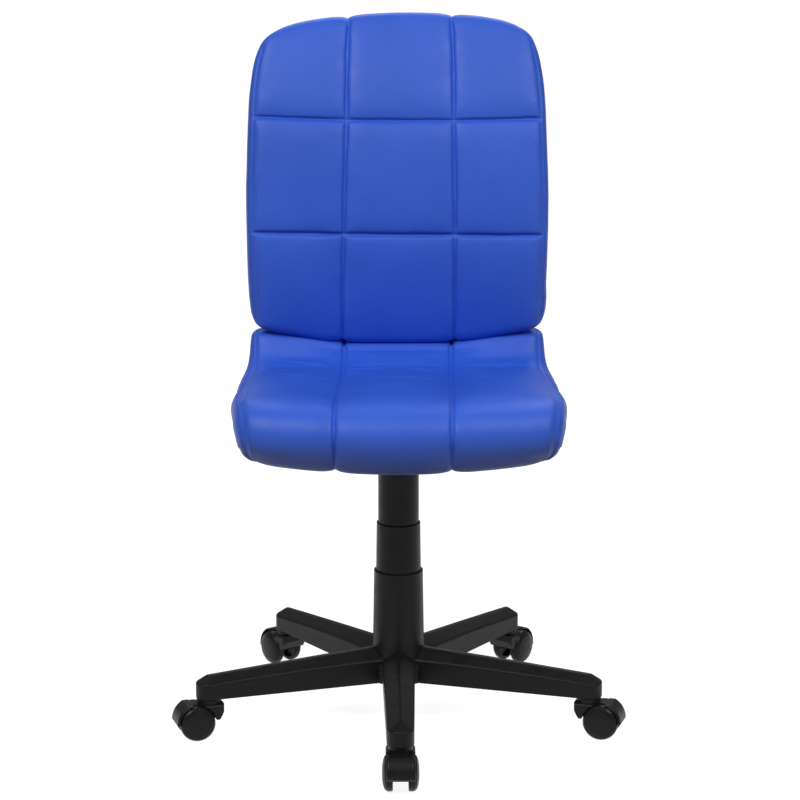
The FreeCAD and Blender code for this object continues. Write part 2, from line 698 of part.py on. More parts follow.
def seat_nodes():
    cushion, board, rear_panel = back_parts()
    seat_nuts = [tee_nut(x, y) for x, y in SEAT_BOLTS]
    back_nuts = [back_nut(x, z) for x, z in BACK_BOLTS]
    return {
        "seat_plate": seat_plate(),
        "seat_under_cover": seat_under_cover(),
        "seat_board": seat_board(),
        "seat_cushion": seat_cushion(),
        "plate_bolts": Part.makeCompound([hex_bolt(x, y, PLATE_Z, 12) for x, y in PLATE_BOLTS]),
        "bracket_bolts": Part.makeCompound([hex_bolt(x, y, 434, 15) for x, y in BRACKET_BOLTS]),
        "back_bolts": Part.makeCompound([back_bolt(x, z) for x, z in BACK_BOLTS]),
        "tee_nuts": Part.makeCompound(seat_nuts + back_nuts),
        "back_cushion": cushion,
        "back_board": board,
        "back_rear_panel": rear_panel,
        "back_bracket": back_bracket(),
    }


def main():
    os.makedirs("parts", exist_ok=True)
    for nodes in (base_nodes(), mechanism_nodes(), seat_nodes()):
        for name, shape in nodes.items():
            save(name, shape)
    for name, shape in caster_nodes().items():
        for i, angle in enumerate(ARM_ANGLES, 1):
            save(f"caster_{i}_{name}", turned(shape, angle))


main()
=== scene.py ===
import math

import bmesh
import bpy
import numpy as np
from mathutils import Matrix, Vector, noise
from mathutils.kdtree import KDTree


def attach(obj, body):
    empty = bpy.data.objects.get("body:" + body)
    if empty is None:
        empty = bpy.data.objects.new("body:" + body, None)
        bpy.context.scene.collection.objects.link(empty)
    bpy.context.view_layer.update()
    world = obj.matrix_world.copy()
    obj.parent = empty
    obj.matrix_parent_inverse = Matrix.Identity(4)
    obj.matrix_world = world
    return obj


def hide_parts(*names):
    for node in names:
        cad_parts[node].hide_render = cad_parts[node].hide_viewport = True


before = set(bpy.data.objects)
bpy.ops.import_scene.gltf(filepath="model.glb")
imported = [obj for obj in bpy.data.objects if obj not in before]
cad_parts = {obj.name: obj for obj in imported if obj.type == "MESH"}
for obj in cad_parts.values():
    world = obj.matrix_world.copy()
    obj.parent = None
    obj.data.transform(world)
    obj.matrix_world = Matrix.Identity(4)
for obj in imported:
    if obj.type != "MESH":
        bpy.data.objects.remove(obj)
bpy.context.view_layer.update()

# Lengths in the shape code are millimetres in the frame of the CAD model: +Z up, the chair
# faces -Y. They become metres where a mesh is made.
MM = 0.001


# --- camera, floor and light, in metres and degrees ---------------------------------------
CAMERA_PLACE, CAMERA_PITCH, CAMERA_YAW = (0.0, -3.713, 1.321), 77.0, -0.55
SENSOR_MM, LENS_MM, SHIFT_X, CLIP_END = 36.0, 122.4, 1.5 / 800, 60.0
FLOOR_HALF, SURROUND_RADIUS = 30.0, 29.0
LAMP_TARGET = (0, 0, 0.6)
LAMPS = [("key_left", (-1.9, -2.5, 3.4), (1.6, 1.2), 82),       # name, place, size, watts
         ("key_right", (1.9, -2.5, 3.4), (1.6, 1.2), 68),
         ("rear", (0.3, 2.6, 3.0), (2.4, 1.2), 36)]


def new_object(name, data):
    made = bpy.data.objects.new(name, data)
    bpy.context.collection.objects.link(made)
    return made


def make_camera():
    data = bpy.data.cameras.new("camera")
    data.sensor_width = SENSOR_MM
    data.lens = LENS_MM
    data.clip_end = CLIP_END
    data.shift_x = SHIFT_X
    camera = new_object("camera", data)
    pitch = Matrix.Rotation(math.radians(CAMERA_PITCH), 4, "X")
    yaw = Matrix.Rotation(math.radians(CAMERA_YAW), 4, "Z")
    camera.matrix_world = yaw @ (Matrix.Translation(CAMERA_PLACE) @ pitch)
    bpy.context.scene.camera = camera


def area_light(name, place, size, watts):
    data = bpy.data.lights.new(name, "AREA")
    data.shape = "RECTANGLE"
    data.size, data.size_y = size
    data.energy = watts
    lamp = new_object(name, data)
    lamp.location = place
    aim = Vector(LAMP_TARGET) - Vector(place)
    lamp.rotation_euler = aim.to_track_quat("-Z", "Y").to_euler()


def stage_piece(name, mesh, material):
    piece = new_object(name, mesh)
    mesh.materials.append(material)
    return piece


def make_studio():
    """Soft light from high in front and behind, a white floor, and a white surround that only
    the camera sees."""
    world = bpy.data.worlds.new("studio")
    world.use_nodes = True
    tree = world.node_tree
    height = tree.nodes.new("ShaderNodeSeparateXYZ")
    place = tree.nodes.new("ShaderNodeTexCoord").outputs["Generated"]
    tree.links.new(place, height.inputs["Vector"])
    fade = tree.nodes.new("ShaderNodeMapRange")
    tree.links.new(height.outputs["Z"], fade.inputs["Value"])
    limits = {"From Min": -0.2, "From Max": 0.8, "To Min": 0.03, "To Max": 0.50}
    for socket, value in limits.items():
        fade.inputs[socket].default_value = value
    tree.links.new(fade.outputs["Result"], tree.nodes["Background"].inputs["Strength"])
    tree.nodes["Background"].inputs["Color"].default_value = (1, 1, 1, 1)
    bpy.context.scene.world = world
    bpy.context.scene.view_settings.view_transform = "Standard"
    for lamp in LAMPS:
        area_light(*lamp)

    half = FLOOR_HALF
    corners = [(-half, -half, 0), (half, -half, 0), (half, half, 0), (-half, half, 0)]
    sheet = bpy.data.meshes.new("floor")
    sheet.from_pydata(corners, [], [(0, 1, 2, 3)])
    floor = stage_piece("floor", sheet, floor_material())
    floor.visible_diffuse = False

    ball = bmesh.new()
    bmesh.ops.create_uvsphere(ball, u_segments=48, v_segments=24, radius=SURROUND_RADIUS)
    shell = bpy.data.meshes.new("surround")
    ball.to_mesh(shell)
    ball.free()
    surround = stage_piece("surround", shell, surround_material())
    for kind in ("diffuse", "glossy", "transmission", "volume_scatter", "shadow"):
        setattr(surround, f"visible_{kind}", False)


# --- materials ---------------------------------------------------------------------------
class Nodes:
    """Short way to write a node material whose textures sit in the object's own space."""

    def __init__(self, name, **sockets):
        self.material = bpy.data.materials.new(name)
        self.material.use_nodes = True
        self.tree = self.material.node_tree
        self.shader = self.tree.nodes["Principled BSDF"]
        self.place = self.tree.nodes.new("ShaderNodeTexCoord").outputs["Object"]
        for socket, value in sockets.items():
            self.shader.inputs[socket.replace("_", " ")].default_value = value

    def add(self, kind, inputs=None, **settings):
        node = self.tree.nodes.new(kind)
        for key, value in settings.items():
            setattr(node, key, value)
        for key, value in (inputs or {}).items():
            self.link(value, node.inputs[key])
        return node

    def link(self, value, socket):
        if isinstance(value, bpy.types.NodeSocket):
            self.tree.links.new(value, socket)
        else:
            socket.default_value = value

    def stretched(self, x, y, z):
        inputs = {"Vector": self.place, "Scale": (x, y, z)}
        return self.add("ShaderNodeMapping", inputs).outputs["Vector"]

    def noise(self, scale, detail=3.0, vector=None):
        inputs = {"Vector": vector or self.place, "Scale": scale, "Detail": detail}
        return self.add("ShaderNodeTexNoise", inputs).outputs["Fac"]

    def cells(self, scale, feature="F1"):
        inputs = {"Vector": self.place, "Scale": scale}
        return self.add("ShaderNodeTexVoronoi", inputs, feature=feature).outputs["Distance"]

    def spread(self, value, low, high, at=(0.3, 0.7)):
        node = self.add("ShaderNodeMapRange", {"Value": value})
        node.inputs["From Min"].default_value, node.inputs["From Max"].default_value = at
        node.inputs["To Min"].default_value, node.inputs["To Max"].default_value = low, high
        return node.outputs["Result"]

    def colours(self, value, *stops):
        node = self.add("ShaderNodeValToRGB", {"Fac": value})
        ramp = node.color_ramp
        while len(ramp.elements) < len(stops):
            ramp.elements.new(0.5)
        for element, (position, colour) in zip(ramp.elements, stops):
            element.position = position
            element.color = (*colour, 1)
        self.tree.links.new(node.outputs["Color"], self.shader.inputs["Base Color"])

    def roughness(self, value):
        self.tree.links.new(value, self.shader.inputs["Roughness"])

    def bump(self, *layers):
        """Bump layers of (height, strength, depth in metres), each on top of the last."""
        normal = None
        for height, strength, depth in layers:
            inputs = {"Height": height, "Strength": strength, "Distance": depth}
            if normal:
                inputs["Normal"] = normal
            normal = self.add("ShaderNodeBump", inputs).outputs["Normal"]
        self.tree.links.new(normal, self.shader.inputs["Normal"])


def floor_material():
    m = Nodes("floor", Roughness=0.9, Specular_IOR_Level=0.0, Emission_Color=(1, 1, 1, 1),
              Emission_Strength=0.9)
    m.colours(m.noise(1.5), (0.3, (0.30, 0.30, 0.30)), (0.7, (0.32, 0.32, 0.32)))
    return m.material


def surround_material():
    m = Nodes("surround", Roughness=1.0, Emission_Color=(1, 1, 1, 1), Emission_Strength=1.0)
    m.colours(m.noise(0.2), (0.3, (0.0, 0.0, 0.0)), (0.7, (0.01, 0.01, 0.01)))
    return m.material


def vinyl():
    """Smooth satin upholstery vinyl: pebble grain under a millimetre, faint cloudiness."""
    m = Nodes("blue_vinyl", Specular_IOR_Level=0.36)
    m.colours(m.noise(9.0, 5.0), (0.3, (0.020, 0.088, 0.54)), (0.7, (0.026, 0.104, 0.60)))
    m.roughness(m.spread(m.noise(45.0), 0.44, 0.54))
    grain = m.cells(1100.0, "DISTANCE_TO_EDGE")
    pebbles = m.spread(grain, 0, 1, (0.0, 0.25))
    m.bump((m.noise(70.0, 2.0), 0.25, 0.0012), (pebbles, 0.10, 0.00012))
    return m.material


def thread():
    m = Nodes("blue_thread", Roughness=0.75)
    twist = m.add("ShaderNodeTexWave", {"Vector": m.place, "Scale": 900.0, "Distortion": 1.0})
    m.colours(twist.outputs["Fac"], (0.2, (0.03, 0.08, 0.42)), (0.8, (0.07, 0.15, 0.62)))
    m.bump((twist.outputs["Fac"], 0.5, 0.0002))
    return m.material


def moulded(name, shade, rough, grain, strength):
    """Black moulded plastic with a spark-eroded texture of the given size."""
    m = Nodes(name, Specular_IOR_Level=0.16)
    low = tuple(c * 0.8 for c in shade)
    m.colours(m.noise(14.0, 4.0), (0.35, low), (0.65, shade))
    m.roughness(m.spread(m.noise(60.0), rough - 0.05, rough + 0.06))
    m.bump((m.noise(30.0, 2.0), 0.12, 0.0008), (m.noise(grain, 2.0), strength, 0.00010))
    return m.material


def acetal():
    m = Nodes("acetal", Subsurface_Weight=0.15)
    m.colours(m.noise(60.0), (0.3, (0.72, 0.71, 0.67)), (0.7, (0.78, 0.77, 0.73)))
    m.roughness(m.spread(m.noise(150.0), 0.3, 0.42))
    return m.material


def powder_coat():
    m = Nodes("black_steel", Coat_Weight=0.25, Coat_Roughness=0.25)
    m.colours(m.noise(25.0, 4.0), (0.35, (0.014, 0.014, 0.015)), (0.65, (0.020, 0.020, 0.022)))
    m.roughness(m.spread(m.noise(90.0), 0.38, 0.5))
    m.bump((m.noise(420.0, 2.0), 0.35, 0.00012))
    return m.material


def plated(name, light, dark, rough):
    m = Nodes(name, Metallic=1.0)
    m.colours(m.noise(80.0, 5.0), (0.35, dark), (0.65, light))
    brushed = m.noise(300.0, 3.0, m.stretched(1, 1, 14))
    m.roughness(m.spread(brushed, rough - 0.07, rough + 0.08))
    m.bump((brushed, 0.12, 0.00008))
    return m.material


def birch():
    m = Nodes("plywood")
    grain = m.noise(40.0, 6.0, m.stretched(1, 14, 14))
    m.colours(grain, (0.3, (0.50, 0.33, 0.18)), (0.5, (0.64, 0.46, 0.28)),
              (0.72, (0.72, 0.55, 0.36)))
    m.roughness(m.spread(grain, 0.5, 0.66))
    m.bump((grain, 0.3, 0.0002))
    return m.material


def dust_cloth():
    """Thin non-woven sheet with its embossed dots."""
    m = Nodes("black_cloth", Roughness=0.9, Sheen_Weight=0.3)
    fibre = m.noise(500.0, 4.0)
    m.colours(fibre, (0.3, (0.010, 0.010, 0.011)), (0.7, (0.030, 0.030, 0.032)))
    m.bump((fibre, 0.6, 0.00025), (m.cells(420.0), 0.5, 0.0003))
    return m.material


MATERIALS = {
    "base_nylon": moulded("base_nylon", (0.0092, 0.0086, 0.0090), 0.42, 1500.0, 0.22),
    "cover_plastic": moulded("cover_plastic", (0.0092, 0.0084, 0.0090), 0.40, 1800.0, 0.14),
    "hood_plastic": moulded("hood_plastic", (0.0092, 0.0086, 0.0090), 0.38, 1500.0, 0.12),
    "wheel_nylon": moulded("wheel_nylon", (0.0100, 0.0096, 0.0096), 0.36, 1600.0, 0.10),
    "grip_plastic": moulded("grip_plastic", (0.010, 0.010, 0.010), 0.5, 900.0, 0.35),
    "acetal": acetal(),
    "black_steel": powder_coat(),
    "bright_steel": plated("bright_steel", (0.62, 0.62, 0.63), (0.48, 0.48, 0.49), 0.30),
    "spring_steel": plated("spring_steel", (0.16, 0.16, 0.17), (0.10, 0.10, 0.11), 0.40),
    "blue_vinyl": vinyl(),
    "plywood": birch(),
    "black_cloth": dust_cloth(),
    "blue_thread": thread(),
}


def dress_nodes():
    """Gives every CAD node the finished material of its slot."""
    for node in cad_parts.values():
        for slot in node.material_slots:
            slot.material = MATERIALS[slot.material.name.split(".")[0]]


# --- curves and grids --------------------------------------------------------------------
def smooth(table, at):
    """Smooth value from (position, value) rows: cubic pieces with centred slopes."""
    xs, ys = np.array(table, float).T
    slopes = np.gradient(ys, xs)
    at = np.clip(at, xs[0], xs[-1])
    k = np.clip(np.searchsorted(xs, at) - 1, 0, len(xs) - 2)
    h = xs[k + 1] - xs[k]
    t = (at - xs[k]) / h
    ends = (1 + 2 * t) * (1 - t) ** 2 * ys[k] + t * t * (3 - 2 * t) * ys[k + 1]
    return ends + t * (1 - t) * h * ((1 - t) * slopes[k] - t * slopes[k + 1])


def ramp(value, start, run):
    """0 up to the start, 1 from start + run onwards; a negative run counts downwards."""
    return np.clip((value - start) / run, 0, 1)


def ease(t):
    """Takes the corners off a ramp."""
    return t * t * (3 - 2 * t)


class Loop:
    """Smooth closed curve through points, read by distance along it from the first one."""

    LAP = 3         # points repeated before the first one, so that the curve joins smoothly

    def __init__(self, points):
        self.points = np.array(points[-self.LAP:] + points + points[:self.LAP + 1], float)
        steps = np.linalg.norm(np.diff(self.points, axis=0), axis=1)
        marks = np.r_[0, np.cumsum(steps)]
        self.marks = marks - marks[self.LAP]
        self.length = self.marks[self.LAP + len(points)]

    def at(self, distance):
        rows = [smooth(np.c_[self.marks, column], distance) for column in self.points.T]
        return np.stack(rows, axis=-1)

    def mark(self, index):
        """Distance of one of the points."""
        return self.marks[index + self.LAP]


def unit(v):
    return v / np.maximum(np.linalg.norm(v, axis=-1, keepdims=True), 1e-9)


def graded(stops, cells):
    """Positions through the stops, with closer spacing on both sides of each stop."""
    pull = 0.6
    parts = [np.array([stops[0]])]
    for low, high, count in zip(stops, stops[1:], cells):
        t = np.linspace(0, 1, count + 1)[1:]
        t = (1 - pull) * t + pull * (0.5 - 0.5 * np.cos(math.pi * t))
        parts.append(low + (high - low) * t)
    return np.concatenate(parts)


def coons(bottom, top, left, right, u, v):
    """Grid of points [u, v] between four edge curves that meet at the corners."""
    u, v = u[:, None, None], v[None, :, None]
    across = (1 - v) * bottom[:, None] + v * top[:, None]
    up = (1 - u) * left[None] + u * right[None]
    corners = ((1 - u) * (1 - v) * bottom[0] + u * (1 - v) * bottom[-1]
               + (1 - u) * v * top[0] + u * v * top[-1])
    return across + up - corners


def triples(collection, attribute):
    """Vectors of a mesh collection as rows of three numbers."""
    flat = np.empty(len(collection) * 3)
    collection.foreach_get(attribute, flat)
    return flat.reshape(-1, 3)


def shade_smooth(mesh):
    mesh.polygons.foreach_set("use_smooth", [True] * len(mesh.polygons))


def evaluated(piece):
    return piece.evaluated_get(bpy.context.evaluated_depsgraph_get())


def rounded_share(distance, reach):
    """0 on a seam, 1 from reach onwards, round like a stuffed panel in between."""
    t = np.clip(1 - distance / reach, 0, 1)
    return np.sqrt(np.maximum(0.0, 1 - t ** 2.2))


# --- pillows -----------------------------------------------------------------------------
PUFF_REACH = 30.0               # from a seam to the full height of a panel
QUILT_SINK, SIDE_SINK = 3.6, 1.3
PRESSURE, LARGEST_MOVE, CLOTH_FRAMES = 4.0, 5.0, 20
PANEL_CELLS = (22, 24, 22)      # cells across the three panels


class Pillow:
    """Closed padded form: a front grid, a rear grid, and rings of points round the rim."""

    def __init__(self, name, front, rear, bulge, power=2.3, rings=9):
        self.name = name
        self.nu, self.nv = front.shape[0] - 1, front.shape[1] - 1
        self.front, self.rear = front, rear
        self.rim = self.rim_cells()
        self.rings = rings
        self.points = self.all_points(bulge, power)

    def rim_cells(self):
        nu, nv = self.nu, self.nv
        return ([(i, 0) for i in range(nu)] + [(nu, j) for j in range(nv)]
                + [(i, nv) for i in range(nu, 0, -1)] + [(0, j) for j in range(nv, 0, -1)])

    def all_points(self, bulge, power):
        i, j = np.array(self.rim).T
        inner_i, inner_j = np.clip(i, 3, self.nu - 3), np.clip(j, 3, self.nv - 3)
        middle = (self.front + self.rear) / 2
        half = self.front[i, j] - middle[i, j]
        edge = middle[i, j]
        out = unit(np.cross(np.roll(edge, -1, axis=0) - np.roll(edge, 1, axis=0), half))
        out *= np.sign(np.sum(out * (edge - middle[inner_i, inner_j]), axis=1, keepdims=True))
        depth = bulge[i, j][:, None]
        rows = []
        for ring in range(1, self.rings):
            angle = math.pi * ring / self.rings
            along = math.copysign(abs(math.cos(angle)) ** (2 / power), math.cos(angle))
            rows.append(edge + half * along + out * depth * math.sin(angle) ** (2 / power))
        return np.concatenate([self.front.reshape(-1, 3), self.rear.reshape(-1, 3), *rows])

    def cell(self, i, j, rear=False):
        return i * (self.nv + 1) + j + (len(self.front.reshape(-1, 3)) if rear else 0)

    def ring_start(self, ring):
        return 2 * (self.nu + 1) * (self.nv + 1) + (ring - 1) * len(self.rim)

    def line(self, columns=(), rows=()):
        """Indices of whole grid lines of the front."""
        found = {self.cell(i, j) for i in columns for j in range(self.nv + 1)}
        return found | {self.cell(i, j) for j in rows for i in range(self.nu + 1)}

    def hidden(self):
        """Indices of the rear grid and of the rim."""
        return set(range((self.nu + 1) * (self.nv + 1), len(self.points)))

    def faces(self):
        quads = []
        for i in range(self.nu):
            for j in range(self.nv):
                around = [(i, j), (i + 1, j), (i + 1, j + 1), (i, j + 1)]
                quads.append([self.cell(*c) for c in around])
                quads.append([self.cell(*c, rear=True) for c in around[::-1]])
        starts = [self.ring_start(ring) for ring in range(1, self.rings)]
        loops = [[self.cell(*c) for c in self.rim]]
        loops += [range(start, start + len(self.rim)) for start in starts]
        loops += [[self.cell(*c, rear=True) for c in self.rim]]
        for low, high in zip(loops, loops[1:]):
            for k in range(len(self.rim)):
                n = (k + 1) % len(self.rim)
                quads.append([low[n], low[k], high[k], high[n]])
        return quads

    def build(self):
        mesh = bpy.data.meshes.new(self.name)
        mesh.from_pydata((self.points * MM).tolist(), [], self.faces())
        shell = bmesh.new()
        shell.from_mesh(mesh)
        bmesh.ops.recalc_face_normals(shell, faces=shell.faces)
        shell.to_mesh(mesh)
        shell.free()
        shade_smooth(mesh)
        mesh.materials.append(MATERIALS["blue_vinyl"])
        self.piece = new_object(self.name, mesh)

    def read(self):
        return triples(self.piece.data.vertices, "co") / MM

    def write(self, points):
        self.piece.data.vertices.foreach_set("co", (points * MM).ravel())
        self.piece.data.update()

    def normals(self):
        return triples(self.piece.data.vertex_normals, "vector")


def inflate(pillow, pinned):
    """Swells the cover under pressure, holds the pinned points, and limits every move."""
    piece = pillow.piece
    group = piece.vertex_groups.new(name="sewn")
    group.add([int(k) for k in pinned], 1.0, "REPLACE")
    cloth = piece.modifiers.new("cloth", "CLOTH")
    settings = cloth.settings
    settings.quality = 7
    settings.mass = 0.35
    settings.tension_stiffness = settings.compression_stiffness = 25
    settings.shear_stiffness = 12
    settings.bending_stiffness = 4.0
    settings.vertex_group_mass = "sewn"
    settings.use_pressure = True
    settings.uniform_pressure_force = PRESSURE
    settings.shrink_min = 0.0
    settings.effector_weights.gravity = 0
    cloth.collision_settings.use_collision = False
    cloth.point_cache.frame_start = 1
    cloth.point_cache.frame_end = CLOTH_FRAMES
    for step in range(1, CLOTH_FRAMES + 1):
        bpy.context.scene.frame_set(step)
    swollen = triples(evaluated(piece).data.vertices, "co") / MM
    start = pillow.read()
    move = swollen - start
    size = np.linalg.norm(move, axis=1, keepdims=True)
    move *= np.minimum(1.0, LARGEST_MOVE / np.maximum(size, 1e-9))
    piece.modifiers.remove(cloth)
    piece.vertex_groups.clear()
    bpy.context.scene.frame_set(1)
    pillow.write(start + move)


def subdivide(pillow):
    """One Catmull-Clark step, kept in the mesh; the first points stay the grid's own."""
    piece = pillow.piece
    divide = piece.modifiers.new("divide", "SUBSURF")
    divide.levels = 1
    fine = bpy.data.meshes.new_from_object(evaluated(piece))
    piece.modifiers.remove(divide)
    coarse = piece.data
    piece.data = fine
    bpy.data.meshes.remove(coarse)
    fine.name = piece.name
    shade_smooth(fine)


def pucker(pillow, seam, sizes):
    """Uneven gathers beside the sewn lines. Each size is (height, length, reach)."""
    plain = 3.0     # width beside a seam over which the gathers set in
    points, normals = pillow.read(), pillow.normals()
    tree = KDTree(len(seam))
    for k, index in enumerate(sorted(seam)):
        tree.insert(points[index], k)
    tree.balance()
    moved = points.copy()
    for k, (point, normal) in enumerate(zip(points, normals)):
        away = tree.find(point)[2]
        lift = sum(height * noise.noise(Vector(point / length)) * math.exp(-away / reach)
                   for height, length, reach in sizes)
        moved[k] += normal * lift * min(1.0, away / plain)
    pillow.write(moved)


def sink_seams(pillow, seam, depth):
    """Pulls sewn lines in, so that each seam is a narrow furrow, shallower under the seat."""
    points, normals = pillow.read(), pillow.normals()
    seam = np.array(sorted(seam))
    fade = np.maximum(0.25, ramp(points[seam, 2:], 412, 40))
    points[seam] -= normals[seam] * depth * fade
    pillow.write(points)


def upholster(pillow, quilting, thread_name, gathers):
    """Swells the front panels, sews the quilting and the side seams, and adds the gathers."""
    pillow.build()
    sides = pillow.line((0, pillow.nu))
    inflate(pillow, quilting | sides | pillow.hidden())
    sink_seams(pillow, quilting - sides, QUILT_SINK)
    sink_seams(pillow, sides, SIDE_SINK)
    side_stitching(thread_name, pillow)
    subdivide(pillow)
    pucker(pillow, quilting | sides, gathers)


def finish_soft(pillow, node):
    piece = pillow.piece
    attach(piece, "seat")
    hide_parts(node)


# --- stitching ---------------------------------------------------------------------------
STITCH, GAP, THREAD_RADIUS = 4.4, 1.8, 0.42
# Along a stitch: share of its length, height over the vinyl and thickness, both in radii.
STITCH_SHAPE = ((0, -0.9, 0.5), (0.12, 0.1, 0.9), (0.5, 0.35, 1.0), (0.88, 0.1, 0.9),
                (1, -0.9, 0.5))


def side_stitching(name, pillow):
    """Top-stitching along both sides of the seam between the front and the side strip."""
    points, normals = pillow.read(), pillow.normals()
    lines = []
    for side in (0, pillow.nu):
        step = 1 if side == 0 else -1
        face = [pillow.cell(side + 2 * step, j) for j in range(2, pillow.nv - 1)]
        band = [pillow.ring_start(1) + k for k, (i, j) in enumerate(pillow.rim)
                if i == side and 2 <= j <= pillow.nv - 2]
        lines += [(points[line], normals[line]) for line in (face, band)]
    stitches(name, lines)


def stitches(name, lines):
    """One piece of sewing thread: a short rounded stitch after another along each line.
    A line is (points, outward normals)."""
    shell = bmesh.new()
    for points, normals in lines:
        marks = np.r_[0, np.cumsum(np.linalg.norm(np.diff(points, axis=0), axis=1))]
        for start in np.arange(GAP, marks[-1] - STITCH, STITCH + GAP):
            spots = [start + STITCH * share for share, _, _ in STITCH_SHAPE]
            centre = np.stack([np.interp(spots, marks, c) for c in points.T], axis=1)
            normal = unit(np.stack([np.interp(spots, marks, c) for c in normals.T], axis=1))
            add_stitch(shell, centre, normal)
    mesh = bpy.data.meshes.new(name)
    shell.to_mesh(mesh)
    shell.free()
    shade_smooth(mesh)
    mesh.materials.append(MATERIALS["blue_thread"])
    piece = new_object(name, mesh)
    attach(piece, "seat")


def add_stitch(shell, centre, normal):
    along = unit(centre[-1] - centre[0])
    rings = []
    for k, (_, height, thickness) in enumerate(STITCH_SHAPE):
        side = unit(np.cross(normal[k], along))
        middle = centre[k] + normal[k] * THREAD_RADIUS * height
        ring = []
        for corner in range(6):
            a = math.pi * corner / 3
            out = side * math.cos(a) + normal[k] * math.sin(a)
            ring.append(shell.verts.new((middle + out * THREAD_RADIUS * thickness) * MM))
        rings.append(ring)
    for low, high in zip(rings, rings[1:]):
        for c in range(6):
            shell.faces.new((low[c], low[(c + 1) % 6], high[(c + 1) % 6], high[c]))
    shell.faces.new(rings[0][::-1])
    shell.faces.new(rings[-1])


# --- back --------------------------------------------------------------------------------
# The back's section as (z, y) of its front face, and of its middle surface.
BACK_FRONT = [(480, 186), (520, 168), (560, 155), (600, 148), (660, 143), (740, 150), (790, 159),
              (840, 172), (885, 188), (930, 207), (977, 235), (1020, 263)]
BACK_THICK = 58.0
BACK_MIDDLE = [(z, y + BACK_THICK / 2) for z, y in BACK_FRONT]
# Right half of the back's outline as (x, z), from the middle of the top to the middle of the
# foot, and the points where the side starts and ends.
BACK_HALF_OUTLINE = [(0, 978), (75, 975), (125, 970), (150, 965), (172, 957), (186, 949),
                     (195, 940), (201, 929), (206, 914), (209.5, 896), (213, 868), (215, 830),
                     (216.5, 785), (218, 735), (218, 690), (217.5, 645), (216.5, 600),
                     (215, 572), (212.5, 553), (207.5, 541), (198, 533), (176, 527),
                     (150, 522.5), (125, 517.5), (100, 513.5), (75, 511.5), (40, 511), (0, 511)]
TOP_CORNER, FOOT_CORNER = 7, 18
# Quilting seams: the left and right one at the foot, at both cross seams and at the top, the
# lower and upper one at the left and right side, and how far each row sags in the middle.
BACK_SEAM_X = ((-79.4, -77.5, -72.8, -69.3), (82.3, 82.6, 81.0, 78.6))
BACK_SEAM_Z = ((675.5, 671.0), (834.0, 831.0))
BACK_SAG = (0, 1.0, 4.5, 0)
BACK_ROW_CELLS = (26, 26, 26)
# The top edge rises a little from left to right, from a height and over a height; the foot
# stands out a little more on the right.
BACK_LEAN, LEAN_FROM, LEAN_OVER = 0.018, 860, 90
FOOT_WIDER = 2.0
# From the outline to the edge of the grid, at the sides and at the top and foot.
FRONT_INSET, REAR_INSET = (9.0, 21.0), (10.0, 10.0)
# Depths from the middle surface: front seams, rear of the front cover, both faces of the rear one.
BACK_SEAM_DEPTH, BACK_PUFF, BACK_COVER_REAR = -23.0, 6.5, 17.0
PANEL_FACE, PANEL_REAR, PANEL_RIM = 17.6, 26.8, 5.0
PANEL_CROWN, PANEL_HALF, PANEL_MIDDLE, PANEL_HALF_HEIGHT = 1.5, 218, 749, 236
END_SCALLOP, SCALLOP_REACH = 3.0, 22.0      # top and foot draw in between the seams


def on_back(x, z, across):
    """Point at a distance across (negative in front) from the middle surface of the back."""
    slope = (smooth(BACK_FRONT, z + 2) - smooth(BACK_FRONT, z - 2)) / 4
    scale = np.hypot(1, slope)
    y = smooth(BACK_MIDDLE, z) + across / scale
    return np.stack([x, y, z - across * slope / scale], axis=-1)


def uneven(x, z):
    """Moves a point of the even outline to where the chair has it."""
    wider = FOOT_WIDER if x > 150 and z < 600 else 0.0
    return x + wider, z + BACK_LEAN * x * ramp(z, LEAN_FROM, LEAN_OVER)


